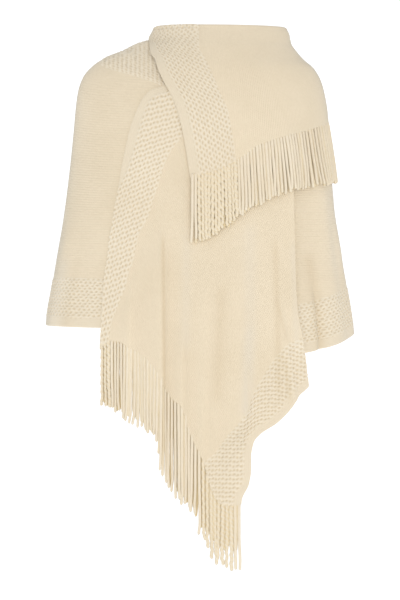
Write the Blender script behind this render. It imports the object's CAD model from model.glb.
# %% [markdown]
# # A knitted poncho sweater
#
# The real garment is made of two knitted strips. Both long edges of a strip carry a border in basket
# stitch that ends in a plain rolled selvedge. The long strip wraps once round the body, and its fringed
# end hangs at the front like a point. The short one turns over at the neck and falls over one shoulder as
# a collar flap with a fringe of its own. The lesson builds every stretch of cloth on the forms that the
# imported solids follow, then gives it its stitches, its colour and its light.

# %% Load the frame
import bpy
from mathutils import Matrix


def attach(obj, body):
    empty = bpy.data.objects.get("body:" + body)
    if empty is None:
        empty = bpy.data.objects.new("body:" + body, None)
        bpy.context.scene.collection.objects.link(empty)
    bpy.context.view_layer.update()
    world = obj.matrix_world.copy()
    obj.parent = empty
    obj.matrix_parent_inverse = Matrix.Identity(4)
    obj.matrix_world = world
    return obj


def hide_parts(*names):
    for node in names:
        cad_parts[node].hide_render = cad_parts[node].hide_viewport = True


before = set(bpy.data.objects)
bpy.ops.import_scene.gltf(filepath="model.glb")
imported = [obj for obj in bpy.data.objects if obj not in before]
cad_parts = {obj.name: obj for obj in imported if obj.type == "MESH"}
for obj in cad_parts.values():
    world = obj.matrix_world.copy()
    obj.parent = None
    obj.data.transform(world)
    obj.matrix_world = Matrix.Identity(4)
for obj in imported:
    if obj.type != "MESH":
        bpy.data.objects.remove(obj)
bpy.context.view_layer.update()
print("nodes", sorted(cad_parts))

# %% Tools of the trade
import math

import bmesh
import bpy
import numpy as np
from mathutils import Vector

# %% [markdown]
# ## The camera
#
# A garment picture is taken from far away with a long lens, so that the cloth is not distorted. The
# camera stands five metres in front, level with the middle of the garment, and looks straight ahead.
# The sensor's long side is upright, so the lens length follows from the height that must fit.

# %% Camera
CAMERA_FAR = 5.0
CAMERA_HEIGHT = -0.472
SEEN_HEIGHT = 1.11  # height of what the picture shows, at the garment
SENSOR = 36.0  # the sensor's long side, in millimetres

camera_data = bpy.data.cameras.new("camera")
camera_data.sensor_width = SENSOR
camera_data.lens = SENSOR * CAMERA_FAR / SEEN_HEIGHT
camera = bpy.data.objects.new("camera", camera_data)
camera.location = (0.0, -CAMERA_FAR, CAMERA_HEIGHT)
camera.rotation_euler = (math.pi / 2, 0.0, 0.0)
bpy.context.scene.collection.objects.link(camera)
bpy.context.scene.camera = camera
print("lens", round(camera_data.lens, 1))

# %% [markdown]
# ## Curves from short tables
#
# Cloth has no straight lines. Each edge and each section is kept as a short table, and a smooth curve is
# read through its rows. The curve never overshoots a row, so a hem does not wave where the table is flat.
# All helpers take whole arrays, which keeps fine meshes quick.

# %% Smooth curves
def smooth(keys, values):
    """A function that reads a smooth curve through the values."""
    xs, ys = np.array(keys, float), np.array(values, float)
    slopes = np.diff(ys) / np.diff(xs)
    before, after = slopes[:-1], slopes[1:]
    same_way = before * after > 0
    inner = np.where(same_way, 2 * before * after / np.where(same_way, before + after, 1), 0)
    tangents = np.concatenate([slopes[:1], inner, slopes[-1:]])

    def read(at):
        at = np.clip(at, xs[0], xs[-1])
        i = np.clip(np.searchsorted(xs, at, side="right") - 1, 0, len(xs) - 2)
        step = xs[i + 1] - xs[i]
        t = (at - xs[i]) / step
        start = (1 + 2 * t) * (1 - t) ** 2 * ys[i] + t * (1 - t) ** 2 * step * tangents[i]
        end = t * t * (3 - 2 * t) * ys[i + 1] + t * t * (t - 1) * step * tangents[i + 1]
        return start + end

    return read


def column(table, i):
    return [row[i] for row in table]


def curve(table):
    """A function of a key, from a table of (key, value)."""
    return smooth(column(table, 0), column(table, 1))


def summed(steps):
    """How far each post stands from the first, for the steps between them."""
    return np.concatenate([[0.0], np.cumsum(steps)])


def line(table):
    """A function of a share 0 to 1 that walks a curve through spots (x, z), by the length between them."""
    spots = np.array(table, float)
    far = summed(np.hypot(*np.diff(spots, axis=0).T))
    across, up = smooth(far / far[-1], spots[:, 0]), smooth(far / far[-1], spots[:, 1])
    return lambda share: (across(share), up(share))


def walked(keys, spots):
    """A function of a key: the length walked along a line of spots, one for each key."""
    far = summed(np.linalg.norm(np.diff(spots, axis=0), axis=-1))
    return lambda key: np.interp(key, keys, far)


def distance_to(spots, x, z):
    """Least distance from places x, z to a line of spots."""
    spots = np.asarray(spots)
    apart = np.hypot(x[:, None] - spots[None, :, 0], z[:, None] - spots[None, :, 1])
    return apart.min(axis=1)


def mix(a, b, share):
    return a + (b - a) * share


def mix_spots(a, b, share):
    """The place between two places (x, z)."""
    return mix(a[0], b[0], share), mix(a[1], b[1], share)


def ease(t):
    """Rises smoothly from 0 to 1 while t does, and stays level outside."""
    t = np.clip(t, 0.0, 1.0)
    return t * t * (3 - 2 * t)


def pair(a, b):
    return np.stack([a, b], axis=-1)


def unit(vectors):
    return vectors / np.linalg.norm(vectors, axis=-1, keepdims=True)


print("a smooth curve through 0, 1, 0 at a quarter:", round(float(curve([(0, 0), (1, 1), (2, 0)])(0.5)), 3))


# %% [markdown]
# ## The two forms
#
# A knitted garment takes the shape of what it hangs on. Two closed forms stand for that: one for the
# layer next to the body, and a wider one for the collar that lies over it. Each row of a table is one
# level cut, with its half widths to the left and right and its depths to the front and back. A place on
# a form is a turn, 0 at the front and growing to the right, and a height. Layers lie over each other by
# moving out along the form's own direction, so they never pass through each other.

# %% The body form and the collar form
BODY_SECTIONS = [  # z, left, right, front, back
    (0.012, 0.070, 0.080, 0.023, 0.028),
    (0.010, 0.081, 0.086, 0.026, 0.031),
    (0.006, 0.097, 0.096, 0.032, 0.037),
    (0.000, 0.117, 0.108, 0.040, 0.046),
    (-0.013, 0.143, 0.140, 0.055, 0.062),
    (-0.028, 0.179, 0.172, 0.073, 0.077),
    (-0.041, 0.198, 0.190, 0.086, 0.087),
    (-0.061, 0.215, 0.206, 0.101, 0.096),
    (-0.087, 0.224, 0.216, 0.115, 0.104),
    (-0.115, 0.228, 0.222, 0.126, 0.110),
    (-0.148, 0.231, 0.227, 0.135, 0.114),
    (-0.180, 0.234, 0.233, 0.141, 0.116),
    (-0.228, 0.239, 0.240, 0.147, 0.118),
    (-0.315, 0.250, 0.248, 0.153, 0.122),
    (-0.398, 0.264, 0.257, 0.158, 0.128),
    (-0.446, 0.272, 0.265, 0.161, 0.132),
    (-0.507, 0.282, 0.275, 0.163, 0.136),
    (-0.560, 0.285, 0.280, 0.163, 0.138),
    (-0.700, 0.285, 0.280, 0.157, 0.138),
    (-0.850, 0.285, 0.280, 0.148, 0.138),
    (-1.010, 0.285, 0.280, 0.140, 0.138),
]
CAPE_SECTIONS = [
    (0.030, 0.083, 0.157, 0.062, 0.062),
    (0.020, 0.089, 0.1635, 0.068, 0.068),
    (0.010, 0.096, 0.1655, 0.075, 0.075),
    (0.000, 0.102, 0.168, 0.082, 0.081),
    (-0.009, 0.113, 0.174, 0.089, 0.087),
    (-0.028, 0.150, 0.190, 0.101, 0.097),
    (-0.046, 0.185, 0.210, 0.112, 0.105),
    (-0.067, 0.212, 0.222, 0.122, 0.112),
    (-0.087, 0.228, 0.228, 0.130, 0.117),
    (-0.120, 0.238, 0.234, 0.142, 0.124),
    (-0.150, 0.243, 0.237, 0.150, 0.127),
    (-0.200, 0.248, 0.245, 0.158, 0.130),
    (-0.250, 0.254, 0.252, 0.163, 0.132),
    (-0.330, 0.264, 0.262, 0.168, 0.136),
]
STEP = 0.0015  # step over which slopes are taken
NEARLY = 0.999  # a place on the front never counts as quite at the side, where turns run together


class Form:
    """A closed form round the wearer, read from a table of level cuts."""

    def __init__(self, sections):
        rows = sorted(sections)
        self.left, self.right, self.front, self.back = (
            smooth(column(rows, 0), column(rows, i)) for i in (1, 2, 3, 4))

    def spot(self, turn, z):
        across, ahead = np.sin(turn), np.cos(turn)
        half = np.where(across >= 0, self.right(z), self.left(z))
        deep = np.where(ahead >= 0, self.front(z), self.back(z))
        return np.stack([half * across, -deep * ahead, z + 0 * turn], axis=-1)

    def outward(self, turn, z):
        return normal(self.spot, turn, z)

    def turn_of(self, x, z):
        half = np.where(x >= 0, self.right(z), self.left(z))
        return np.arcsin(np.clip(x / half, -NEARLY, NEARLY))


def normal(surface, a, b):
    """Which way surface(a, b) faces."""
    across = surface(a + STEP, b) - surface(a - STEP, b)
    up = surface(a, b + STEP) - surface(a, b - STEP)
    return unit(np.cross(across, up))


def thick(surface, a, b, out):
    """Points of surface(a, b), moved out along its own direction."""
    return surface(a, b) + normal(surface, a, b) * np.asarray(out)[..., None]


BODY, CAPE = Form(BODY_SECTIONS), Form(CAPE_SECTIONS)
print("body form", len(BODY_SECTIONS), "cuts; collar form", len(CAPE_SECTIONS), "cuts")

# %% [markdown]
# ## Folds
#
# Heavy knit falls in a few long, soft folds. The front hangs free below the arms, so its folds are the
# deepest there, soft on one side and steep on the other where a fold leans over. A fold on the back and
# under the arms is a broad swell. Simulation would give some folds, but not these ones, so each fold is
# a row in a table and fades in from above.
#
# Wool also looks warmer and darker down in a fold, where light reaches it only from other wool, and paler
# on a stretched crest. The tone tables add that to the colour, where the relief alone would be too faint.

# %% Fold tables
FADE = 0.090  # a fold grows over this length below its top
RIDGES = [  # x and z at the top, x and z lower down, height, width of the soft side and of the steep one
    (-0.0665, -0.330, -0.069, -0.900, 0.0110, 0.034, 0.0045),
    (-0.032, -0.490, -0.034, -0.900, 0.0070, 0.020, 0.0060),
    (-0.121, -0.420, -0.134, -0.900, 0.0060, 0.018, 0.0080),
    (0.010, -0.400, 0.000, -0.900, 0.0070, 0.024, 0.014),
    (0.066, -0.360, 0.062, -0.900, 0.0070, 0.020, 0.018),
    (0.134, -0.450, 0.164, -0.640, 0.0040, 0.014, 0.0060),
    (0.156, -0.130, 0.185, -0.700, 0.0050, 0.018, 0.016),
    (0.150, -0.600, 0.178, -0.700, 0.0060, 0.010, 0.010),
]
CREASES = [  # turn in degrees and z at the top, both at the foot, height, half width in degrees
    (51.5, -0.400, 51.5, -0.620, -0.0080, 2.4),
    (62, -0.200, 62, -0.620, 0.0060, 9),
    (84, -0.300, 84, -0.620, 0.0050, 8),
    (112, -0.240, 112, -0.620, 0.0060, 9),
    (140, -0.180, 140, -0.620, 0.0090, 10),
    (168, -0.260, 168, -0.620, 0.0060, 8),
    (196, -0.200, 196, -0.620, 0.0080, 10),
    (222, -0.230, 222, -0.620, 0.0090, 10),
    (248, -0.260, 248, -0.620, 0.0060, 9),
    (292, -0.300, 292, -0.620, 0.0040, 9),
    (303, -0.400, 303, -0.620, 0.0035, 5),
]
FRONT_TONES = [  # x and z at the top, x and z at the foot, strength (below 0 on a crest), half width
    (-0.0655, -0.360, -0.0628, -0.640, 0.45, 0.0026),
    (0.0377, -0.450, 0.0305, -0.650, 0.24, 0.0110),
    (0.1328, -0.370, 0.1400, -0.640, 0.30, 0.0060),
    (0.1364, -0.478, 0.1507, -0.540, 0.25, 0.0026),
    (0.0843, -0.590, 0.0860, -0.660, 0.18, 0.0034),
    (0.1490, -0.580, 0.1580, -0.650, 0.35, 0.0036),
    (-0.0233, -0.350, -0.0250, -0.560, -0.22, 0.0090),
    (0.1630, -0.370, 0.1700, -0.560, -0.25, 0.0060),
    (0.0880, -0.340, 0.0880, -0.520, -0.25, 0.0130),
    (0.0880, -0.520, 0.0800, -0.680, -0.45, 0.0120),
]
WRAP_TONES = [  # turn in degrees and z at the top, both at the foot, strength, half width in degrees
    (50.0, -0.390, 50.0, -0.620, 0.38, 3.2),
    (292.5, -0.400, 292.5, -0.620, -0.35, 5),
    (303, -0.400, 303, -0.620, 0.12, 3),
]
TONE_FADE = 0.035  # a tone fades over this length at its top and foot


def tone_fade(z, z_top, z_low):
    return ease((z_top - z) / TONE_FADE + 0.5) * ease((z - z_low) / TONE_FADE + 0.5)


def crease_fade(z, z_top, z_low):
    return ease((z_top - z) / FADE) * ease((z - z_low) / FADE + 1)


def ridge_fade(z, z_top, z_low):
    """A fold of the front grows below its top and then keeps its height."""
    return ease((z_top - z) / FADE)


def sum_rows(table, place, z, fade):
    """Sum of a table's folds or tones: each runs down a line and is strongest there."""
    total = 0.0
    for top, z_top, low, z_low, strength, *widths in table:
        apart = place - mix(top, low, (z_top - z) / (z_top - z_low))
        wide = np.where(apart < 0, widths[0], widths[-1])
        total = total + strength * fade(z, z_top, z_low) * np.exp(-((apart / wide) ** 2))
    return total


def wrap_tone(turn, z):
    """How deep the wool looks in the wrap's folds, and below 0 how pale on their crests."""
    return sum_rows(WRAP_TONES, np.degrees(turn), z, tone_fade)


def front_tone(x, z):
    """The same for the front stretch."""
    return sum_rows(FRONT_TONES, x, z, tone_fade)


def crease_height(turn, z):
    """How far the body layer's folds stand out."""
    return sum_rows(CREASES, np.degrees(turn), z, crease_fade)


def ridge_height(x, z):
    """How far the front stretch's folds stand out, soft on one side and steep on the other."""
    return sum_rows(RIDGES, x, z, ridge_fade)


print("folds", len(RIDGES), "in front,", len(CREASES), "round the body")
print("soft tones", len(FRONT_TONES + WRAP_TONES))

# %% [markdown]
# ## Where each layer lies
#
# Three surfaces carry all the cloth: the layer round the body, the front stretch that lies over it, and
# the collar flap that lies over both and rides up over their folds.

# %% Middle surfaces
OVER = 0.0054  # the front stretch lies this far outside the body layer


def body_cloth(turn, z):
    return BODY.spot(turn, z) + BODY.outward(turn, z) * np.asarray(crease_height(turn, z))[..., None]


def front_cloth(x, z):
    turn = BODY.turn_of(x, z)
    return BODY.spot(turn, z) + BODY.outward(turn, z) * (OVER + ridge_height(x, z))[..., None]


def flap_cloth(turn, z):
    x = CAPE.spot(turn, z)[..., 0]
    lift = crease_height(turn % math.tau, z) + np.where(np.cos(turn) > 0, ridge_height(x, z), 0.0)
    return CAPE.spot(turn, z) + CAPE.outward(turn, z) * lift[..., None]


print("the front stretch lies", OVER, "metres outside the body layer")


# %% [markdown]
# ## Basket stitch
#
# The border's knit stands in small puffs with dark holes between them. The puffs lie on two sets of
# lines that cross, and a third set, parallel to the selvedge, runs through the crossings. A sum of three
# waves gives just that: high where a puff is, low in a hole. The puffs are real relief in the mesh,
# because they catch the light and show on the border's outline. The hole's depth is also kept as a
# number on each point, so that the colour can go warmer and darker deep in the wool.

# %% Basket stitch relief
PUFF = 0.0108  # the stitch repeats after this length, along a border and across it
PUFF_HIGH, PUFF_DEEP = 0.0008, 0.0020  # a puff's top above the cloth, and the hole's floor below that top
PUFF_EDGE = 0.42  # the summed wave goes from -1 to 1, and a puff's side begins at this height
HOLE_SHARP = 1.3  # above 1, the dark keeps to the middle of a hole
WANDER = 0.10  # the lines stray this far from their even spacing, in lines
DRIFTS = (0.29, 0.41), (0.37, -0.23)  # waves of that straying for each line of the first and second set
FLAP_WEAVE, WING_WEAVE = (1, 1, 1.2), (0.9, 0.9, 1.2)  # strengths of the three sets of lines
BORDER = 0.089  # width of a border with its selvedge
ROLL = 0.0145  # width of the plain rolled selvedge
RIB = 0.0036  # spacing of the selvedge's fine ribs
RIB_HIGH, RIB_HOLE = 0.0004, 0.10  # how deep and how dark the grooves between ribs are
EVEN_HOLE = 0.22  # the selvedge's own tone, as a hole mask


def basket(first, second, weave):
    """Relief and hole mask where two sets of lines cross; weave holds the strengths of all three sets."""
    (a, b), (c, d) = DRIFTS
    one = math.tau * (first + WANDER * np.sin(math.tau * (a * first + b * second)))
    two = math.tau * (second + WANDER * np.sin(math.tau * (c * first + d * second) + 1))
    wave = (weave[0] * np.cos(one) + weave[1] * np.cos(two) - weave[2] * np.cos(one + two)) / sum(weave)
    hole = np.clip(PUFF_EDGE - wave, 0, 1 + PUFF_EDGE) / (1 + PUFF_EDGE)
    return PUFF_HIGH - PUFF_DEEP * hole, hole ** HOLE_SHARP


def crossed(along, across):
    """The two sets of lines on a border whose stitch lies square to its edge."""
    return (across + along) / PUFF, (across - along) / PUFF


print("a border holds", round(2 * (BORDER - ROLL) / PUFF), "rows of puffs")


# %% [markdown]
# ## From a surface to a shell of cloth
#
# A knit is a few millimetres thick, so each piece is a closed shell. It starts as two flat grids, a fine
# one for the outside and a coarse one for the inside. Their points are moved onto the surface, and the
# two rims are bridged, which closes the shell. The rims stay sharp, or the shading of the narrow edge
# would spread over the cloth beside it. The inside needs no fine grid, because its stitches are left to
# the material. The UV map holds metres along and across the knit.

# %% Cloth shells
def grid_points(mesh, columns, rows):
    """Adds a flat grid and gives its points and their shares u and v."""
    made = bmesh.ops.create_grid(mesh, x_segments=columns, y_segments=rows, size=0.5)
    points = made["verts"]
    flat = np.array([point.co[:2] for point in points]) + 0.5
    return points, flat[:, 0], flat[:, 1]


def cloth(name, place, columns, rows, finish, node_names, inner=3):
    """A shell from place(u, v, side), which gives spots, UV in metres and the hole mask.

    The grid of the inside is coarser, by the factor inner. A finish is a slot and its material.
    """
    mesh = bmesh.new()
    uv_layer = mesh.loops.layers.uv.new("knit")
    hole_layer = mesh.verts.layers.float.new("hole")
    spot_uv = {}
    for side, (across, up) in ((1, (columns, rows)), (-1, (columns // inner, max(2, rows // inner)))):
        points, u, v = grid_points(mesh, across, up)
        spots, uv, hole = place(u, v, side)
        hole = np.broadcast_to(hole, u.shape)
        for point, spot, where, deep in zip(points, spots, uv, hole):
            point.co = spot
            point[hole_layer] = deep
            spot_uv[point] = where
    rims = [edge for edge in mesh.edges if edge.is_boundary]
    for edge in rims:
        edge.smooth = False
    bmesh.ops.bridge_loops(mesh, edges=rims)
    for face in mesh.faces:
        face.smooth = True
        for corner in face.loops:
            corner[uv_layer].uv = spot_uv[corner.vert]
    return finish_piece(mesh, name, finish, node_names)


def finish_piece(mesh, name, finish, node_names):
    """Turns a bmesh into a named piece that stands for its CAD nodes."""
    slot, material = finish
    bmesh.ops.recalc_face_normals(mesh, faces=mesh.faces[:])
    if mesh.calc_volume(signed=True) < 0:
        bmesh.ops.reverse_faces(mesh, faces=mesh.faces[:])
    data = bpy.data.meshes.new(name)
    mesh.to_mesh(data)
    mesh.free()
    data.materials.append(material)
    piece = bpy.data.objects.new(name, data)
    bpy.context.scene.collection.objects.link(piece)
    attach(piece, "root")
    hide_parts(*node_names)
    triangles = sum(len(polygon.vertices) - 2 for polygon in data.polygons)
    area = sum(polygon.area for polygon in data.polygons) / 2
    print(name, triangles, "triangles,", round(area, 3), "square metres")
    return piece


# %% [markdown]
# ## The look of the wool
#
# Plain knit shows as fine rows of small slanted stitches. They are too small for the mesh, so a shader
# group draws them as a height from the UV map: a rounded rib for each row, with slanted waves along it.
# A second group gives slow changes of tone, as hand-dyed wool has. Both groups put out numbers only, and
# the shader itself stays in each material, where its steady values are set on its own sockets.

# %% Shader groups
def new_group(name, inputs, outputs):
    group = bpy.data.node_groups.new(name, "ShaderNodeTree")
    for label, kind, value in inputs:
        socket = group.interface.new_socket(label, in_out="INPUT", socket_type=kind)
        if value is not None:
            socket.default_value = value
    for label, kind in outputs:
        group.interface.new_socket(label, in_out="OUTPUT", socket_type=kind)
    return group, group.nodes.new("NodeGroupInput"), group.nodes.new("NodeGroupOutput")


def feed(tree, socket, value):
    """Links a socket to another one, or sets it to a steady number or colour."""
    if isinstance(value, bpy.types.NodeSocket):
        tree.links.new(value, socket)
    elif isinstance(value, tuple):
        socket.default_value = (*value, 1.0)
    else:
        socket.default_value = value


def feed_all(tree, node, values):
    for label, value in values.items():
        feed(tree, node.inputs[label], value)
    return node


def add(tree, kind, values):
    return feed_all(tree, tree.nodes.new(kind), values)


def add_group(tree, group, values):
    node = tree.nodes.new("ShaderNodeGroup")
    node.node_tree = group
    return feed_all(tree, node, values)


def math_node(tree, operation, *values):
    node = tree.nodes.new("ShaderNodeMath")
    node.operation = operation
    for socket, value in zip(node.inputs, values):
        feed(tree, socket, value)
    return node.outputs[0]


def blend(tree, factor, a, b):
    """A colour that goes from a to b with the factor."""
    node = tree.nodes.new("ShaderNodeMix")
    node.data_type = "RGBA"
    return feed_all(tree, node, {"Factor": factor, "A": a, "B": b}).outputs["Result"]


STITCH_WAVE, STITCH_SLANT = 0.2, 0.5  # how much stitches notch a rib, and how far they slant, in stitches
FINE_SCALE, FINE_SHARE = 22.0, 0.4  # fleece is this much finer than the slow change, and has this share


def stitch_group():
    """Height of fine plain knit at a UV in metres."""
    group, inside, outside = new_group(
        "knit_rows",
        [("UV", "NodeSocketVector", None), ("Row", "NodeSocketFloat", 0.003),
         ("Stitch", "NodeSocketFloat", 0.0025)],
        [("Height", "NodeSocketFloat")])
    split = group.nodes.new("ShaderNodeSeparateXYZ")
    group.links.new(inside.outputs["UV"], split.inputs[0])
    row = math_node(group, "FRACT", math_node(group, "DIVIDE", split.outputs[1], inside.outputs["Row"]))
    slant = math_node(group, "ABSOLUTE", math_node(group, "MULTIPLY_ADD", row, 2.0, -1.0))
    rib = math_node(group, "SUBTRACT", 1.0, math_node(group, "POWER", slant, 2.0))
    phase = math_node(group, "ADD", math_node(group, "DIVIDE", split.outputs[0], inside.outputs["Stitch"]),
                      math_node(group, "MULTIPLY", slant, STITCH_SLANT))
    wave = math_node(group, "SINE", math_node(group, "MULTIPLY", phase, math.tau))
    lift = math_node(group, "MULTIPLY_ADD", wave, STITCH_WAVE, 1 - STITCH_WAVE)
    group.links.new(math_node(group, "MULTIPLY", rib, lift), outside.inputs["Height"])
    return group


def tone_group():
    """A slow, soft change of tone between two colours."""
    group, inside, outside = new_group(
        "wool_tone",
        [("Position", "NodeSocketVector", None), ("Light", "NodeSocketColor", (1, 1, 1, 1)),
         ("Dark", "NodeSocketColor", (0, 0, 0, 1)), ("Scale", "NodeSocketFloat", 9.0)],
        [("Color", "NodeSocketColor")])
    where, scale = inside.outputs["Position"], inside.outputs["Scale"]
    broad = add(group, "ShaderNodeTexNoise", {"Vector": where, "Scale": scale, "Detail": 2.0})
    fine_scale = math_node(group, "MULTIPLY", scale, FINE_SCALE)
    fine = add(group, "ShaderNodeTexNoise", {"Vector": where, "Scale": fine_scale, "Detail": 3.0})
    both = math_node(group, "MULTIPLY_ADD", fine.outputs["Fac"], FINE_SHARE,
                     math_node(group, "MULTIPLY", broad.outputs["Fac"], 1 - FINE_SHARE))
    spread = add(group, "ShaderNodeMapRange", {"Value": both, "From Min": 0.35, "From Max": 0.65})
    color = blend(group, spread.outputs["Result"], inside.outputs["Dark"], inside.outputs["Light"])
    group.links.new(color, outside.inputs["Color"])
    return group


STITCH, TONE = stitch_group(), tone_group()
print("shader groups", STITCH.name, TONE.name)

# %% [markdown]
# ## Three finishes of the same cream wool
#
# Plain knit, basket stitch and rolled cord are the same yarn, so they share one recipe: a tone that
# drifts between two creams, darker and warmer in holes and folds, paler on crests and greyer where the
# cloth turns away, a matt surface, and a little sheen from the loose fibres. The creams, the stitch size
# and the strength of the relief differ a little.

# %% Wool materials
AWAY_POWER, AWAY_GREY = 4.0, (0.55, 0.52, 0.44)  # how close to the rim wool goes grey, and how grey
CREST = (0.78, 0.725, 0.62)  # the pale tone of a stretched crest, where the mask is below 0


def wool(slot, light, dark, deep, row, stitch, relief):
    """A slot with its wool: two creams, the tone in holes, and the size of rows, stitches and relief."""
    material = bpy.data.materials.new(slot + "_wool")
    material.use_nodes = True
    tree = material.node_tree
    place = tree.nodes.new("ShaderNodeTexCoord")
    tone = add_group(tree, TONE, {"Position": place.outputs["Object"], "Light": light, "Dark": dark})
    hole = tree.nodes.new("ShaderNodeAttribute")
    hole.attribute_name = "hole"
    color = blend(tree, hole.outputs["Fac"], tone.outputs["Color"], deep)
    color = blend(tree, math_node(tree, "MULTIPLY", hole.outputs["Fac"], -1.0), color, CREST)
    away = add(tree, "ShaderNodeLayerWeight", {"Blend": 0.5})
    color = blend(tree, math_node(tree, "POWER", away.outputs["Facing"], AWAY_POWER), color, AWAY_GREY)
    rows = add_group(tree, STITCH, {"UV": place.outputs["UV"], "Row": row, "Stitch": stitch})
    bump = add(tree, "ShaderNodeBump", {
        "Height": rows.outputs["Height"], "Strength": 1.0, "Distance": relief})
    feed_all(tree, tree.nodes["Principled BSDF"], {
        "Base Color": color, "Normal": bump.outputs["Normal"], "Roughness": 0.92,
        "Specular IOR Level": 0.25, "Sheen Weight": 0.30, "Sheen Roughness": 0.5,
        "Sheen Tint": (1.0, 0.95, 0.87)})
    return slot, material


PLAIN_KNIT = wool("plain_knit", (0.86, 0.75, 0.57), (0.81, 0.70, 0.52), (0.66, 0.53, 0.35),
                  0.0031, 0.0026, 0.0006)
BASKET_KNIT = wool("basket_knit", (0.89, 0.805, 0.65), (0.855, 0.76, 0.60), (0.72, 0.60, 0.41),
                   0.0024, 0.0024, 0.0004)
CORD = wool("fringe_cord", (0.89, 0.805, 0.65), (0.845, 0.75, 0.59), (0.83, 0.675, 0.385),
            0.0022, 0.0026, 0.0003)
print("wools", [material.name for slot, material in (PLAIN_KNIT, BASKET_KNIT, CORD)])

# %% [markdown]
# ## The wrap: arms and back
#
# On the real garment one stretch of knit runs from under the front, over one arm, across the back and
# over the other arm. It has no seam, so it is one sheet here, though the solids part it into three. Its
# rows run round the body. The border at its hem and the one at its neckline are sheets of their own,
# because they need the fine grid and the plain knit doesn't.

# %% Wrap tables
PLAIN, BASKET, ROLLED = 0.0030, 0.0040, 0.0052  # thickness of plain knit, of puffs, of the rolled selvedge
WRAP_FROM, WRAP_TO = 27, 349  # turns where the wrap begins and ends, both under the front
WING_HEM = [  # turn, z
    (20, -0.580), (45, -0.566), (70, -0.546), (90, -0.535), (135, -0.545), (180, -0.548),
    (205, -0.535), (228, -0.522), (270, -0.519), (315, -0.522), (350, -0.524),
]
NECKLINE = [
    (20, -0.036), (60, -0.010), (90, 0.001), (135, 0.000), (180, -0.002), (210, -0.001),
    (240, 0.008), (270, 0.0105), (300, 0.008), (315, 0.000), (330, -0.013), (350, -0.038),
]
NECK_BORDER_LINE = [
    (20, -0.120), (50, -0.075), (90, -0.034), (135, -0.048), (180, -0.068), (225, -0.050),
    (270, -0.030), (300, -0.046), (325, -0.064), (340, -0.082), (350, -0.105),
]
TUCK = 0.0015  # a border reaches this far under its neighbour's edge

hem_line, neck_line, neck_low = curve(WING_HEM), curve(NECKLINE), curve(NECK_BORDER_LINE)
print("hem between", min(column(WING_HEM, 1)), "and", max(column(WING_HEM, 1)), "metres")
print("neckline up to", max(column(NECKLINE, 1)), "metres")


# %% What all borders share
SEAM, SEAM_FADE = 0.00012, 0.006  # a border lies this much lower where the plain knit covers its edge
ROLL_FADE, PUFF_FADE = 0.010, 0.005  # widths over which the roll flattens and the puffs begin
ROUND_LEAST = 0.04  # square of the least thickness left at a round edge, as a share


def border_half(across, roll, to_inner, rolled):
    """Half the thickness across a border: its selvedge is rolled and has a round edge."""
    half = mix(rolled, BASKET, ease((across - roll) / ROLL_FADE)) / 2
    half = mix(PLAIN / 2 - SEAM, half, ease((to_inner - TUCK) / SEAM_FADE))
    from_edge = np.clip(across / (rolled / 2), 0, 1)
    return half * np.sqrt(np.clip(1 - (1 - from_edge) ** 2, ROUND_LEAST, 1))


def border_skin(side, lines, weave, across, roll, to_inner, rolled=ROLLED):
    """How far out a border's side lies and its hole mask; only the outer side has puffs."""
    out = side * border_half(across, roll, to_inner, rolled)
    if side < 0:
        return out, 0 * across
    relief, hole = basket(*lines, weave)
    inside = ease((across - roll) / PUFF_FADE)
    rib = 0.5 - 0.5 * np.cos(math.tau * across / RIB)
    relief = inside * relief * ease((to_inner - TUCK) / SEAM_FADE) - (1 - inside) * RIB_HIGH * rib
    return out + relief, mix(EVEN_HOLE + RIB_HOLE * rib, hole, inside)


print("cloth is", PLAIN, "metres thick, its borders", BASKET, "and their selvedges", ROLLED)


# %% The wrap and its hem
TURNS = np.radians(np.arange(WRAP_FROM, WRAP_TO + 1.0))
hem_walk = walked(TURNS, body_cloth(TURNS, hem_line(np.degrees(TURNS)) + BORDER / 2))
neck_walk = walked(TURNS, body_cloth(TURNS, neck_low(np.degrees(TURNS))))


def wrap_turn(u):
    return np.radians(mix(WRAP_FROM, WRAP_TO, u))


def wrap_place(u, v, side):
    turn = wrap_turn(u)
    degrees = np.degrees(turn)
    z = mix(hem_line(degrees) + BORDER, neck_low(degrees), v)
    spots = thick(body_cloth, turn, z, side * PLAIN / 2 + 0 * z)
    return spots, pair(hem_walk(turn), z), wrap_tone(turn, z)


def wrap_hem_place(u, v, side):
    turn = wrap_turn(u)
    along, across = hem_walk(turn), v * (BORDER + TUCK)
    z = hem_line(np.degrees(turn)) + across
    out, hole = border_skin(side, crossed(along, across), WING_WEAVE, across, ROLL, (1 - v) * BORDER)
    return thick(body_cloth, turn, z, out), pair(along, across), hole + wrap_tone(turn, z)


wrap = cloth("wrap_knit", wrap_place, 330, 110, PLAIN_KNIT, ["left_wing", "back_panel", "right_wing"])
wrap_hem = cloth("wrap_hem_border", wrap_hem_place, 1050, 68, BASKET_KNIT,
                 ["left_wing_hem", "back_hem", "right_wing_hem"], inner=4)


# %% The border at the neckline
NECK_COLUMN, NECK_ROW = 0.0081, 0.0046  # columns are counted from side to side, rows by height
NECK_SLANT, NECK_WEAVE = 0.34, (1, 0.8, 0.6)  # the rows' slope, and the strengths of the lines
NECK_PLAIN = 0.04  # share of the border, below the neckline, over which puffs begin


def neck_place(u, v, side):
    turn = wrap_turn(u)
    degrees = np.degrees(turn)
    high, low = neck_line(degrees), neck_low(degrees) - TUCK
    up, z = (1 - v) * (high - low), mix(high, low, v)
    x = body_cloth(turn, z)[:, 0]
    relief, hole = basket(x / NECK_COLUMN, (z + NECK_SLANT * x) / NECK_ROW, NECK_WEAVE)
    relief, hole = (relief, hole) if side > 0 else (0 * v, 0 * v)
    fade = ease((up - TUCK) / SEAM_FADE)
    out = side * mix(PLAIN / 2 - SEAM, BASKET / 2, fade) + relief * fade * ease(v / NECK_PLAIN)
    return thick(body_cloth, turn, z, out), pair(neck_walk(turn), up), hole


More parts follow.
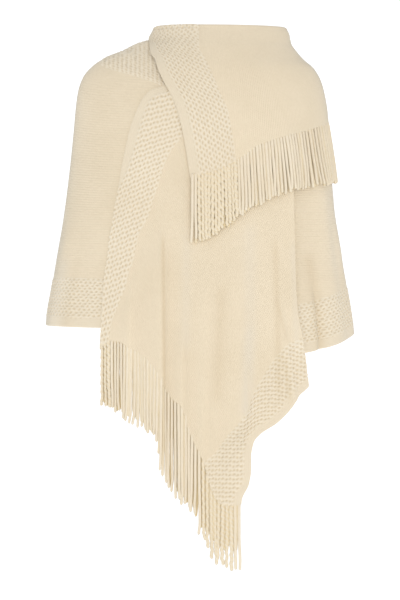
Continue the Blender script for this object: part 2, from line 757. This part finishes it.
neck_border = cloth("neck_border_knit", neck_place, 620, 44, BASKET_KNIT, ["neck_border"])

# %% [markdown]
# ## The front stretch
#
# The strip's fringed end comes down over the front as a long point. Its grain runs up to the right, so
# the knit rows do too. The plain knit is a patch stretched between four curves: the fringed end and the
# lower border below, the neck above, the upper border at the left and the fold beside the arm at the
# right. Working from its four edges keeps every edge exactly where it belongs.

# %% Front tables
UPPER_EDGE = [  # rolled selvedge, x and z, from the neck to the fringed end
    (-0.034, -0.044), (-0.066, -0.086), (-0.087, -0.093), (-0.104, -0.111), (-0.117, -0.140),
    (-0.125, -0.163), (-0.135, -0.208), (-0.141, -0.238), (-0.144, -0.260), (-0.148, -0.283),
    (-0.153, -0.310), (-0.157, -0.337), (-0.162, -0.364), (-0.165, -0.395), (-0.169, -0.423),
    (-0.172, -0.454), (-0.174, -0.490), (-0.176, -0.520), (-0.178, -0.560),
]
UPPER_BORDER_LINE = [
    (-0.012, -0.044), (-0.012, -0.100), (-0.020, -0.150), (-0.034, -0.183), (-0.048, -0.201),
    (-0.058, -0.218), (-0.068, -0.246), (-0.076, -0.274), (-0.083, -0.295), (-0.088, -0.314),
    (-0.098, -0.336), (-0.109, -0.358), (-0.114, -0.385), (-0.118, -0.405), (-0.126, -0.424),
    (-0.131, -0.450), (-0.139, -0.470), (-0.146, -0.487), (-0.153, -0.504), (-0.158, -0.522),
    (-0.161, -0.546),
]
FRINGED_END = [
    (-0.178, -0.560), (-0.161, -0.546), (-0.141, -0.547), (-0.127, -0.556), (-0.104, -0.569),
    (-0.077, -0.596), (-0.064, -0.626), (-0.048, -0.650), (-0.034, -0.660), (-0.022, -0.700),
    (-0.012, -0.722), (0.006, -0.760),
]
HEM_BORDER_END = [
    (0.006, -0.760), (0.013, -0.792), (0.027, -0.826), (0.048, -0.841), (0.072, -0.838),
]
HEM_BORDER_LINE = [
    (0.006, -0.760), (0.027, -0.744), (0.044, -0.719), (0.059, -0.701), (0.072, -0.685),
    (0.085, -0.668), (0.092, -0.642), (0.101, -0.624), (0.114, -0.604), (0.132, -0.576),
    (0.152, -0.553), (0.180, -0.540),
]
HEM_EDGE = [
    (0.072, -0.838), (0.073, -0.829), (0.086, -0.802), (0.090, -0.777), (0.090, -0.754),
    (0.095, -0.727), (0.106, -0.713), (0.136, -0.693), (0.156, -0.673), (0.170, -0.648),
    (0.191, -0.628),
]
FOLD_EDGE = [
    (0.060, -0.044), (0.110, -0.062), (0.143, -0.100), (0.158, -0.150), (0.162, -0.240),
    (0.164, -0.300), (0.166, -0.373), (0.168, -0.445), (0.171, -0.490), (0.175, -0.517),
    (0.180, -0.540),
]
FRONT_TOP_X, FRONT_TOP_Z = (-0.012, 0.060), -0.044  # the front's upper end, hidden under the collar
END_SHARE = 0.5  # share of the lower side that is fringed end
COVER = (0.0012, -0.0009)  # the plain knit covers the lower border's edge by this much, in x and z
DENSE = 1.35  # above 1, the grid's rows lie closer together towards the neck
GRAIN = math.radians(62)  # the rows of knit climb to the right at this angle

upper_edge, upper_line, hem_border = line(UPPER_EDGE), line(UPPER_BORDER_LINE), line(HEM_BORDER_LINE)
hem_edge, fold_edge, tip_end = line(HEM_EDGE), line(FOLD_EDGE), line(HEM_BORDER_END)
end_height = curve(FRINGED_END)
print("fringed end from", FRINGED_END[0], "to", FRINGED_END[-1])
print("free point down to", min(column(HEM_BORDER_END, 1)), "metres, without its fringe")


# %% A patch between four curves
def end_walk(share):
    x = mix(UPPER_BORDER_LINE[-1][0], FRINGED_END[-1][0], share)
    return x, end_height(x)


def front_low(u):
    end = end_walk(np.clip(u / END_SHARE, 0, 1))
    hem = hem_border(np.clip((u - END_SHARE) / (1 - END_SHARE), 0, 1))
    return tuple(np.where(u <= END_SHARE, end[k], hem[k] + COVER[k]) for k in (0, 1))


def front_high(u):
    return mix(*FRONT_TOP_X, u), FRONT_TOP_Z + 0 * u


def patch(low, high, left, right):
    """A function of the shares u and v that fills in between four curves and meets each of them."""
    def spot(u, v):
        x_z = []
        for k in (0, 1):
            across = mix(low(u)[k], high(u)[k], v)
            up = mix(left(v)[k], right(v)[k], u)
            low_row = mix(low(0 * u)[k], low(0 * u + 1)[k], u)
            high_row = mix(high(0 * u)[k], high(0 * u + 1)[k], u)
            x_z.append(across + up - mix(low_row, high_row, v))
        return x_z

    return spot


def dense_top(v):
    return 1 - (1 - v) ** DENSE


print("middle of the fringed end", [round(float(part), 3) for part in end_walk(0.5)])


# %% The front panel
front_spot = patch(front_low, front_high, lambda v: upper_line(1 - v), lambda v: fold_edge(1 - v))


def grain_uv(x, z):
    along = x * math.cos(GRAIN) + z * math.sin(GRAIN)
    return pair(along, x * math.sin(GRAIN) - z * math.cos(GRAIN))


def front_place(u, v, side):
    x, z = front_spot(u, dense_top(v))
    return thick(front_cloth, x, z, side * PLAIN / 2 + 0 * z), grain_uv(x, z), front_tone(x, z)


front = cloth("front_knit", front_place, 210, 180, PLAIN_KNIT, ["front_panel"])


# %% [markdown]
# ### The front's two borders
#
# The strip hangs on the slant, so on these two borders the rows of puffs climb to the right and the
# upper one's columns lean. Rows are counted by height, less what a row has climbed, and columns by the
# place across. The upper border lies flat on the arm, so it is thin at its edge and is set down onto the
# layer below.

# %% The upper border
ROW_RISE = curve([  # z and the slope of the rows
    (-0.56, 0.46), (-0.42, 0.44), (-0.34, 0.48), (-0.27, 0.50), (-0.20, 0.38), (-0.14, 0.28),
    (-0.08, 0.20)])
ROW_HIGH, COLUMN_WIDE, COLUMN_LEAN = 0.0094, 0.0074, 0.36  # spacing of rows and columns, and their lean
EDGE_WEAVE, EDGE_THICK = (1, 0.7, 0.5), 0.0028  # strengths of the lines; thickness of this selvedge
EDGE_ROLL = curve([  # z and the width of the selvedge, which the puffs replace further down
    (-0.300, -0.010), (-0.260, 0.002), (-0.230, 0.010), (-0.200, 0.013), (-0.170, 0.014),
    (-0.110, 0.010)])
BAND_MIDDLE = curve([  # z and the x from which the rows climb
    (-0.56, -0.165), (-0.42, -0.150), (-0.27, -0.115), (-0.14, -0.080), (-0.04, -0.060)])
SEAT_LOW, SEAT_HIGH = 0.0047, 0.0034  # how far outside the body layer its edge lies, on the hem and above
SEAT_FROM, SEAT_FADE = -0.43, 0.04  # height of the change between the two, and its length
SINK_ACROSS = 0.028  # width over which the band rises to the front's own height
SHARES = np.linspace(0, 1, 90)  # shares at which an edge is measured from
UPPER_SPOTS = pair(*upper_edge(SHARES))


def edge_sink(across, z):
    """How far the upper border is set down onto the arm, which is thicker at its hem."""
    seat = mix(SEAT_LOW, SEAT_HIGH, ease((z - SEAT_FROM) / SEAT_FADE))
    return (seat - OVER) * (1 - ease(across / SINK_ACROSS))


def edge_band_place(u, v, side):
    v = dense_top(v)
    left, right = upper_edge(1 - v), upper_line(1 - v)
    wide = np.hypot(right[0] - left[0], right[1] - left[1])
    x, z = mix_spots(left, right, u * (1 + TUCK / wide))
    across = distance_to(UPPER_SPOTS, x, z)
    lines = (ROW_RISE(z) * (x - BAND_MIDDLE(z)) - z) / ROW_HIGH, (x + COLUMN_LEAN * z) / COLUMN_WIDE
    out, hole = border_skin(side, lines, EDGE_WEAVE, across, EDGE_ROLL(z), (1 - u) * wide, EDGE_THICK)
    return thick(front_cloth, x, z, out + edge_sink(across, z)), grain_uv(x, z), hole


front_edge = cloth("front_edge_border", edge_band_place, 80, 440, BASKET_KNIT, ["front_edge_band"],
                   inner=4)

# %% The lower border
HEM_ROLL, HEM_COLUMN, HEM_WEAVE = 0.011, 0.0062, (1, 0.34, 0.45)  # selvedge, columns, lines' strengths
HEM_ROWS = curve([  # z and the count of rows down to it: they lie closer where the hem turns in
    (-0.90, 47.0), (-0.85, 40.8), (-0.78, 32.0), (-0.74, 26.8), (-0.70, 20.9), (-0.66, 15.4),
    (-0.62, 10.2), (-0.58, 5.1), (-0.50, -5.1)])
HEM_RISE = curve([  # x and how far the rows have climbed there
    (-0.10, 0.0), (0.072, 0.0), (0.099, 0.015), (0.108, 0.018), (0.126, 0.0195), (0.140, 0.018),
    (0.155, 0.0145), (0.190, 0.004)])
HEM_SPOTS = pair(*hem_edge(SHARES))
hem_spot = patch(hem_edge, hem_border, lambda v: tip_end(1 - v),
                 lambda v: mix_spots(HEM_EDGE[-1], HEM_BORDER_LINE[-1], v))


def hem_band_place(u, v, side):
    x, z = hem_spot(u, v)
    across = distance_to(HEM_SPOTS, x, z)
    lines = HEM_ROWS(z - HEM_RISE(x)), x / HEM_COLUMN
    out, hole = border_skin(side, lines, HEM_WEAVE, across, HEM_ROLL, (1 - v) * BORDER)
    return thick(front_cloth, x, z, out), pair(x, z), hole + front_tone(x, z)


front_hem = cloth("front_hem_border", hem_band_place, 300, 110, BASKET_KNIT, ["front_hem_band"], inner=4)

# %% [markdown]
# ## The collar
#
# The short strip turns over at the neck. Its outside falls over the shoulder, its rolled top is the
# neck's rim, and its inside drops to the neckline. The flap's own lines are kept as rails: the turn
# at each share of the way down, for its selvedge and for the line where its border ends.

# %% Collar tables
FOLD_RADIUS, FOLD_HEIGHT = 0.0050, 0.0255  # middle radius of the turned-over top, and where it begins
FOLD_SHARE = 0.16  # share of the flap's grid that makes the turned-over top
FLAP_LINE = [  # turn, z
    (-4, -0.253), (9, -0.236), (17, -0.217), (26, -0.193), (38, -0.178), (55, -0.164),
    (70, -0.153), (90, -0.148), (110, -0.151), (135, -0.166), (160, -0.195), (184, -0.240),
]
FRONT_SELVEDGE = [  # share of the way down, turn
    (0.000, -86), (0.030, -82), (0.065, -74), (0.134, -52), (0.210, -31), (0.282, -23),
    (0.410, -15), (0.516, -11), (0.695, -7.5), (1.000, -4),
]
FRONT_BAND_LINE = [
    (0.000, -1), (0.143, 0), (0.214, 3), (0.320, 6), (0.495, 10), (0.631, 13), (0.896, 15),
    (1.000, 15.5),
]
BACK_BAND_LINE = [
    (0.000, 181), (0.143, 180), (0.214, 177), (0.320, 174), (0.495, 170), (0.631, 167),
    (1.000, 164),
]
BACK_SELVEDGE = [
    (0.000, 266), (0.030, 260), (0.065, 248), (0.134, 229), (0.210, 211), (0.282, 203),
    (0.410, 195), (0.516, 191), (0.695, 187.5), (1.000, 184),
]
flap_low = curve(FLAP_LINE)
front_selvedge, front_band_line = curve(FRONT_SELVEDGE), curve(FRONT_BAND_LINE)
back_band_line, back_selvedge = curve(BACK_BAND_LINE), curve(BACK_SELVEDGE)
print("flap from", FOLD_HEIGHT, "down to", min(column(FLAP_LINE, 1)), "m")


# %% The turned-over top
def over_the_top(turn, angle):
    """Middle of the turned-over top: angle 0 is the outer side, a half turn is the inner side."""
    start = flap_cloth(turn, FOLD_HEIGHT + 0 * turn)
    out = unit(CAPE.outward(turn, FOLD_HEIGHT + 0 * turn) * np.array([1, 1, 0]))
    rise = np.zeros_like(start)
    rise[..., 2] = FOLD_RADIUS * np.sin(angle)
    return start - out * (FOLD_RADIUS * (1 - np.cos(angle)))[..., None] + rise


def flap_spots(u, v, left_rail, right_rail, out):
    """Spots of a flap piece between two rails; out is how far from the middle surface."""
    over = v < FOLD_SHARE
    angle = math.pi * (1 - np.clip(v / FOLD_SHARE, 0, 1))
    top_turn = np.radians(mix(left_rail(0 * v), right_rail(0 * v), u))
    middle = over_the_top(top_turn, angle)
    centre = (over_the_top(top_turn, 0 * angle) + over_the_top(top_turn, 0 * angle + math.pi)) / 2
    rolled = middle + unit(middle - centre) * out[..., None]
    share = np.clip((v - FOLD_SHARE) / (1 - FOLD_SHARE), 0, 1)
    turn = mix(left_rail(share), right_rail(share), u)
    z = mix(FOLD_HEIGHT, flap_low(turn), share)
    hung = thick(flap_cloth, np.radians(turn), z, out)
    return np.where(over[..., None], rolled, hung), turn, z


print("the rim's middle is", round(FOLD_HEIGHT + FOLD_RADIUS, 4), "metres high")


# %% The flap and its borders
FLAP_RADIUS = 0.19  # turns the flap's angle into metres of knit
FLAP_COVER = 0.5  # degrees by which the flap's plain knit covers the edges of its borders
DOWN = np.linspace(0, 1, 160)  # shares at which the way down is measured
SINK, SINK_WIDE = 0.0045, 0.025  # how far the selvedges are set down, and over what width
SINK_START, SINK_FADE = 0.012, 0.045  # how far below the rim that begins, and the length it takes


def flap_sink(across, z):
    lowered = ease((FOLD_HEIGHT - SINK_START - z) / SINK_FADE)
    return -SINK * (1 - ease(across / SINK_WIDE)) * lowered


def flap_walk(left_rail, right_rail):
    """The length walked down the middle of a flap piece, as a function of v."""
    return walked(DOWN, flap_spots(0.5 + 0 * DOWN, DOWN, left_rail, right_rail, 0 * DOWN)[0])


def flap_place(u, v, side):
    spots, turn, z = flap_spots(u, v, lambda share: front_band_line(share) - FLAP_COVER,
                                lambda share: back_band_line(share) + FLAP_COVER,
                                side * PLAIN / 2 + 0 * v)
    return spots, pair(flap_far(v), np.radians(turn) * FLAP_RADIUS), 0.0


def rail_width(left_rail, right_rail, share):
    """Length across a flap piece at a share of the way down."""
    spots = []
    for u in np.linspace(0, 1, 9):
        turn = mix(left_rail(share), right_rail(share), u)
        spots.append(CAPE.spot(np.radians(turn), mix(FOLD_HEIGHT, flap_low(turn), share)))
    return sum(np.linalg.norm(b - a, axis=-1) for a, b in zip(spots, spots[1:]))


def flap_border(left_rail, right_rail, selvedge_first):
    """The place function of a border between two rails; its selvedge is at the first or the second."""
    far = flap_walk(left_rail, right_rail)

    def place(u, v, side):
        share = u if selvedge_first else 1 - u
        down = np.clip((v - FOLD_SHARE) / (1 - FOLD_SHARE), 0, 1)
        across, along = share * rail_width(left_rail, right_rail, down), far(v)
        to_inner = (1 - share) * BORDER
        out, hole = border_skin(side, crossed(along, across), FLAP_WEAVE, across, ROLL, to_inner)
        z = mix(FOLD_HEIGHT, flap_low(mix(left_rail(down), right_rail(down), u)), down)
        spots, _, _ = flap_spots(u, v, left_rail, right_rail, out + flap_sink(across, z))
        return spots, pair(along, across), hole

    return place


flap_far = flap_walk(front_band_line, back_band_line)
flap = cloth("collar_flap_knit", flap_place, 190, 110, PLAIN_KNIT, ["collar_flap"])
flap_front = cloth("collar_front_border", flap_border(front_selvedge, front_band_line, True), 90, 270,
                   BASKET_KNIT, ["collar_front_band"], inner=4)
flap_back = cloth("collar_back_border", flap_border(back_band_line, back_selvedge, False), 90, 270,
                  BASKET_KNIT, ["collar_back_band"], inner=4)


# %% The collar's inside
FOLD_GAP = 0.0006  # from the turned-over top to the inside
SEAT = 0.0040  # from the neckline to the inside's lower edge, which lies on it, middle to middle
COLLAR_DROP = 0.010  # the inside falls straight this far before it turns to the neckline
LINING_STEP = 0.05  # step down the inside over which its slope is taken
LINING_RADIUS, LINING_TALL = 0.12, 0.06  # turn the inside's angle and its share of the way down into metres
neck_round = curve([*NECKLINE, (NECKLINE[0][0] + 360, NECKLINE[0][1])])


def lining_surface(turn, share):
    """The inside's middle surface: a curve from under the turned-over top to the neckline."""
    degrees = np.degrees(turn) % 360
    degrees = np.where(degrees < NECKLINE[0][0], degrees + 360, degrees)
    drop = np.array([0, 0, 1.0])
    top = over_the_top(turn, math.pi + 0 * turn) - drop * FOLD_GAP
    low = thick(body_cloth, turn, neck_round(degrees), SEAT + 0 * turn)
    bend = top - drop * COLLAR_DROP
    share = share[..., None]
    return mix(mix(top, bend, share), mix(bend, low, share), share)


def lining_place(u, v, side):
    turn = np.radians(mix(FRONT_SELVEDGE[0][1], BACK_SELVEDGE[0][1], u))
    across = lining_surface(turn + STEP, v) - lining_surface(turn - STEP, v)
    below, above = np.minimum(1, v + LINING_STEP), np.maximum(0, v - LINING_STEP)
    down = lining_surface(turn, below) - lining_surface(turn, above)
    spots = lining_surface(turn, v) + unit(np.cross(down, across)) * side * PLAIN / 2
    return spots, pair(turn * LINING_RADIUS, v * LINING_TALL), 0.0


lining = cloth("collar_lining_knit", lining_place, 200, 26, PLAIN_KNIT, ["collar_inner"])

# %% [markdown]
# ## Fringe
#
# Each strand is a narrow strip of knit that has rolled up into a soft cord. Strands below the plain knit
# are smooth, and those below a basket border keep its puffs and look knobbly. A strand starts as a flat
# grid that is wrapped into a tube and narrowed to a point at each end, and doubled points are merged. It
# comes out of the cloth's skin, hangs straight down, strays a little and curls at its end.
#
# A full fringe has more cords than fit side by side, so a second row hangs behind the gaps of the first.
# Where the cords part, that row lies deep and shows as a dark slit; elsewhere it lies close and fills the
# gap. Between cords the wool is warm and dark, and the same hole mask as in the borders says so.

# %% Fringe tables
FRONT_ENDS = [  # x, z
    (-0.178, -0.660), (-0.144, -0.678), (-0.113, -0.698), (-0.093, -0.709), (-0.074, -0.726),
    (-0.066, -0.790), (-0.054, -0.812), (-0.040, -0.834), (-0.023, -0.845), (-0.007, -0.863),
    (-0.002, -0.895), (0.009, -0.917), (0.022, -0.940), (0.043, -0.953), (0.072, -0.964),
]
FLAP_ENDS = [  # turn, z
    (-4, -0.372), (4, -0.363), (9, -0.348), (15, -0.328), (24, -0.305), (40, -0.278), (62, -0.266),
    (90, -0.256), (118, -0.262), (140, -0.282), (160, -0.312), (184, -0.358),
]
FRONT_ROWS = [(40, 0.0029, 0.0), (40, 0.0029, 0.0038)]  # cords, their radius, how far back they hang
FLAP_ROWS = [(97, 0.0032, 0.0), (72, 0.0031, 0.0040)]
FRONT_SPACING = [  # x and how wide apart cords are
    (-0.178, 1.0), (-0.010, 1.0), (0.008, 1.18), (0.072, 1.18)]
OPEN = curve([  # x, and 1 where the cords part and show dark slits
    (-0.178, 0.5), (-0.166, 1.0), (-0.136, 1.0), (-0.126, 0.25), (-0.062, 0.25), (-0.054, 1.0),
    (-0.036, 1.0), (-0.028, 0.30), (-0.019, 1.0), (0.002, 1.0), (0.014, 0.5), (0.072, 0.5)])
SNUG, LOOSE = 0.45, 0.62  # how open the collar's fringe is, where its cords are plain and where knobbly
FALL = curve([  # x and the length of the row behind, as a share of the whole
    (-0.178, 0.97), (-0.060, 0.95), (0.000, 0.90), (0.015, 0.74), (0.072, 0.70)])
CORD_SIDES, CORD_RINGS = 9, 52  # how finely a cord is divided
CORD_FLAT, TAPER = 0.58, 0.12  # a cord's depth as a share of its width; how much thinner its end is
ROOT_IN, ROOT_SUNK = 0.006, 0.0007  # a cord begins this far inside the cloth, and this far under its skin
ROW_HOLE, SIDE_HOLE = 0.80, 0.34  # how deep the tone is on the row behind, and where two cords touch
print("strands", sum(count - (back > 0) for count, _, back in FRONT_ROWS + FLAP_ROWS))

# %% How cords differ
# No two cords are alike. A pair in brackets is the least and the most, and a pitch is the room of a cord.
LENGTHS, WIDTHS = (0.945, 1.01), (0.86, 1.08)  # shares of the full length and of the radius
STRAY, CURL = 0.36, 0.45  # how far a cord strays and its end curls at most, in pitches
CURL_FROM = 0.86  # share of the length at which the end begins to curl
BOW, BOW_WAVES = (0.03, 0.14), 7  # how far a cord bows to and fro, in pitches, and its waves in radians
GATHER, GATHER_LONG = 0.25, 0.009  # neighbours lean together, in pitches; the lean's wave is tau times this
LAY = 0.0005  # a cord lies up to this far in or out
CORD_STEP = 0.01  # share of a cord over which its direction is taken

# Knobbly cords.
KNOB_MORE, KNOB_LONG = 0.0005, 0.0078  # their radius is this much larger; length of a knob
KNOB_SWELL, KNOB_TWIST = 0.13, 1.6  # how much a knob swells, and how far it slants round the cord
KNOB_TONE, KNOB_HOLE = 0.12, 0.38  # tone of the whole cord, and how much deeper it is between knobs
ZIGZAG = 0.09  # how far they wind, in pitches

# Plain cords: one groove runs down each, where the strip's edges meet.
GROOVE_DEEP, GROOVE_WIDE = 0.10, 0.12  # as a share of the radius; as 1 less the cosine of half its width
GROOVE_HOLE, GROOVE_DARK = 0.20, 0.10  # depth of its tone, and width of the dark
GROOVE_SWAY, SWAY_LONG = 0.9, 0.05  # how far round the cord it wanders, over what length
print("a knobbly cord of 130 mm has", round(0.13 / KNOB_LONG), "knobs")


# %% Strands
def dome(from_end):
    """Narrows a cord to a round end over one radius."""
    return np.sqrt(np.clip(1 - np.clip(1 - from_end, 0, 1) ** 2, 0, 1))


def strand(mesh, path, radius, knobbly, phase, deeper, layers):
    """Adds one strand round path(t), t from 0 at its root to 1 at its end; deeper adds to its hole mask."""
    hole_layer, uv_layer = layers
    points, u, v = grid_points(mesh, CORD_SIDES, CORD_RINGS)
    around, t = u * math.tau, v
    middle = path(t)
    ahead = unit(path(np.clip(t + CORD_STEP, 0, 1)) - path(np.clip(t - CORD_STEP, 0, 1)))
    out = unit(np.cross(ahead, np.array([1.0, 0.0, 0.0])))
    aside = np.cross(ahead, out)
    long = float(np.linalg.norm(path(np.array([1.0])) - path(np.array([0.0]))))
    far = t * long
    beside = SIDE_HOLE * np.sin(around) ** 4 + deeper
    if knobbly:
        wave = np.cos(math.tau * far / KNOB_LONG + KNOB_TWIST * np.sin(around) + phase)
        swell = 1 + KNOB_SWELL * wave
        hole = KNOB_TONE - KNOB_HOLE * wave
    else:
        wave = np.cos(around + GROOVE_SWAY * np.sin(math.tau * far / SWAY_LONG + phase) + phase)
        swell = 1 - GROOVE_DEEP * np.exp(-((1 - wave) / GROOVE_WIDE) ** 2)
        hole = GROOVE_HOLE * np.exp(-((1 - wave) / GROOVE_DARK) ** 2)
    hole = np.clip(hole + beside, 0, 1)
    size = (radius * (1 - TAPER * t) * swell * dome((long - far) / radius) * dome(far / radius))[..., None]
    deep_part, wide_part = CORD_FLAT * np.cos(around), np.sin(around)
    spots = middle + size * (out * deep_part[..., None] + aside * wide_part[..., None])
    for point, spot, deep in zip(points, spots, hole):
        point.co = spot
        point[hole_layer] = deep
    uv = dict(zip(points, pair(far, u * math.tau * radius)))
    for face in {face for point in points for face in point.link_faces}:
        face.smooth = True
        for corner in face.loops:
            corner[uv_layer].uv = uv[corner.vert]


def fringe(name, rows, where, root, reach, place, knobbly, node_name, seed, loose, open_at, fall=None):
    """Rows of cords at where(share) along the edge.

    At a place p, root(p) and reach(p) are the heights of its ends, place(p, z, out) is a spot on the cloth,
    open_at(p) is how deep the row behind lies and fall(p) how long it is.
    """
    chance = np.random.default_rng(seed)
    mesh = bmesh.new()
    layers = mesh.verts.layers.float.new("hole"), mesh.loops.layers.uv.new("knit")
    for count, radius, behind in rows:
        steps = np.arange(1, count) if behind else np.arange(count) + 0.5
        pitches = where((steps + 0.5) / count) - where((steps - 0.5) / count)
        for at, pitch in zip(where(steps / count), pitches):
            back = (behind > 0) * float(open_at(at))
            phase, bow = chance.uniform(0, math.tau), chance.uniform(*BOW) * pitch
            stray = (chance.uniform(-STRAY, STRAY) + GATHER * math.sin(at / GATHER_LONG)) * pitch * loose
            curl = chance.uniform(-CURL, CURL) * pitch * loose
            lay = chance.uniform(-LAY, LAY) - back * behind
            length, knobs = chance.uniform(*LENGTHS), knobbly(at)
            length = length * (float(fall(at)) if fall and behind else 1)
            thickness = (radius + KNOB_MORE * knobs) * chance.uniform(*WIDTHS)
            flush = (BASKET / 2 if knobs else PLAIN / 2) - CORD_FLAT * thickness - ROOT_SUNK
            top = root(np.array([at - pitch / 2, at, at + pitch / 2])).max() + ROOT_IN
            foot = mix(root(np.array([at]))[0], reach(np.array([at]))[0], length)
            turns = math.pi * (top - foot) / KNOB_LONG

            def path(t):
                p = at + stray * t ** 2 + bow * np.sin(BOW_WAVES * t + phase) * t
                p = p + curl * ease((t - CURL_FROM) / (1 - CURL_FROM))
                p = p + knobs * ZIGZAG * pitch * np.sin(turns * t + phase)
                return place(p, mix(top, foot, t), mix(flush, lay, ease(t * (top - foot) / (2 * ROOT_IN))))

            strand(mesh, path, thickness, knobs, phase, ROW_HOLE * back, layers)
    bmesh.ops.remove_doubles(mesh, verts=mesh.verts[:], dist=1e-5)
    return finish_piece(mesh, name, CORD, [node_name])


# %% The front's fringe
front_reach, flap_reach = curve(FRONT_ENDS), curve(FLAP_ENDS)
END_OUTLINE = np.concatenate([  # the edge that the cords hang from
    [UPPER_EDGE[-1]], pair(*end_walk(np.arange(24) / 24)), pair(*tip_end(np.arange(13) / 12))])
FRONT_FROM, FRONT_TO = -0.177, 0.072  # x of the fringe's two ends
KNOBS_TO = UPPER_BORDER_LINE[-1][0] + 0.002  # x where the upper border's knobbly cords end
KNOBS_FROM = 0.004  # x where the lower border's begin


def front_root(x):
    return np.interp(x, END_OUTLINE[:, 0], END_OUTLINE[:, 1])


def front_knobs(x):
    return x < KNOBS_TO or KNOBS_FROM < x < HEM_BORDER_END[-1][0] - HEM_ROLL


def front_where(share):
    """The x at a share of the cords, which hang wider apart near the point."""
    xs = np.linspace(FRONT_FROM, FRONT_TO, 250)
    count = summed(1 / curve(FRONT_SPACING)(xs[1:]))
    return np.interp(share, count / count[-1], xs)


front_fringe = fringe("front_fringe_cords", FRONT_ROWS, front_where, front_root, front_reach,
                      lambda x, z, out: thick(front_cloth, x, z, out), front_knobs, "front_fringe", 11,
                      loose=1.0, open_at=OPEN, fall=FALL)

# %% [markdown]
# ### The collar's fringe
#
# Its cords are spaced by length, so the turns they hang at are found by walking along the flap's lower
# line as it is seen from above. Over the shoulder they hang further apart, because the edge is stretched.

# %% The collar's fringe
LINE_TURNS = np.linspace(FRONT_SELVEDGE[-1][1], BACK_SELVEDGE[-1][1], 189)
SPREAD = curve([  # turn and how wide apart cords are
    (-4, 1.0), (38, 1.0), (62, 1.45), (118, 1.45), (142, 1.0), (184, 1.0)])
FLAP_MARGIN = 0.0015  # from the flap's corners to the fringe's two ends
FLAT_LINE = flap_cloth(np.radians(LINE_TURNS), flap_low(LINE_TURNS))[:, :2]
LINE_FAR = summed(np.linalg.norm(np.diff(FLAT_LINE, axis=0), axis=-1) / SPREAD(LINE_TURNS[1:]))


def line_turn(far):
    return np.interp(far, LINE_FAR, LINE_TURNS)


def flap_where(share):
    return mix(FLAP_MARGIN, LINE_FAR[-1] - FLAP_MARGIN, share)


def flap_knobs(far):
    plain = FRONT_BAND_LINE[-1][1] < line_turn(far) < BACK_BAND_LINE[-1][1]
    return not plain and ROLL < far < LINE_FAR[-1] - ROLL


flap_fringe = fringe("collar_fringe_cords", FLAP_ROWS, flap_where,
                     lambda far: flap_low(line_turn(far)), lambda far: flap_reach(line_turn(far)),
                     lambda far, z, out: thick(flap_cloth, np.radians(line_turn(far)), z, out),
                     flap_knobs, "collar_fringe", 23, loose=0.55,
                     open_at=lambda far: LOOSE if flap_knobs(far) else SNUG)

# %% [markdown]
# ## What the cloth was before it was worn
#
# Knit stretches a little where it is worn, but a sheet keeps its size on the whole. The sizes are those
# of the knitted strip's own parts, laid flat. Sheets with slanting or tapering ends also state their
# area.

# %% [markdown]
# ## Floor and light
#
# The garment is shown on white, so the floor is one pale sheet that curves up far behind it, far enough
# for a camera to stand in front of the curve and look at the garment's back. The sheet glows a little, so
# it stays white without a lamp, which would shine on the cloth from behind. A bright even sky gives the
# soft shade in the folds. One large warm lamp in front, a little to the right, makes the cloth fall off
# and go greyer where it turns to the sides.

# %% Sweep
FLOOR, BEND, WALL = -1.42, 3.0, 14.0  # the floor's height, the curve's radius and the wall's distance
SWEEP_WIDE, SWEEP_LONG, SWEEP_START = 60.0, 40.0, -16.0  # its width, its length, and where it begins
mesh = bmesh.new()
points, u, v = grid_points(mesh, 2, 90)
past = SWEEP_START + v * SWEEP_LONG - (WALL - BEND)  # how far along the sheet past the curve's beginning
angle = np.clip(past / BEND, 0, math.pi / 2)
back = WALL - BEND + np.minimum(past, 0) + BEND * np.sin(angle)
high = FLOOR + BEND * (1 - np.cos(angle)) + np.maximum(0, past - BEND * math.pi / 2)
for point, spot in zip(points, np.stack([(u - 0.5) * SWEEP_WIDE, back, high], axis=-1)):
    point.co = spot
for face in mesh.faces:
    face.smooth = True
bmesh.ops.recalc_face_normals(mesh, faces=mesh.faces[:])
sweep_mesh = bpy.data.meshes.new("sweep")
mesh.to_mesh(sweep_mesh)
mesh.free()
sweep = bpy.data.objects.new("sweep", sweep_mesh)
bpy.context.scene.collection.objects.link(sweep)
paper = bpy.data.materials.new("paper")
paper.use_nodes = True
feed_all(paper.node_tree, paper.node_tree.nodes["Principled BSDF"], {
    "Base Color": (0.95, 0.95, 0.95), "Roughness": 0.9,
    "Emission Color": (1.0, 1.0, 1.0), "Emission Strength": 0.25})
sweep_mesh.materials.append(paper)
print("sweep", len(sweep_mesh.polygons), "faces; its wall stands", WALL, "metres back")

# %% Lights
world = bpy.data.worlds.new("studio")
world.use_nodes = True
feed_all(world.node_tree, world.node_tree.nodes["Background"], {"Color": (1.0, 1.0, 1.0), "Strength": 0.83})
bpy.context.scene.world = world

KEY_PLACE, KEY_TARGET = Vector((1.2, -5.8, 0.3)), Vector((0.0, 0.0, -0.35))
lamp = bpy.data.lights.new("key", "AREA")
lamp.shape, lamp.size, lamp.energy, lamp.color = "DISK", 2.5, 43, (1.0, 0.89, 0.80)
key = bpy.data.objects.new("key", lamp)
key.location = KEY_PLACE
key.rotation_euler = (KEY_TARGET - KEY_PLACE).to_track_quat("-Z", "Y").to_euler()
bpy.context.scene.collection.objects.link(key)
bpy.context.scene.view_settings.view_transform = "Standard"
print("key light", round((KEY_TARGET - KEY_PLACE).length, 2), "m away,", lamp.energy, "W")
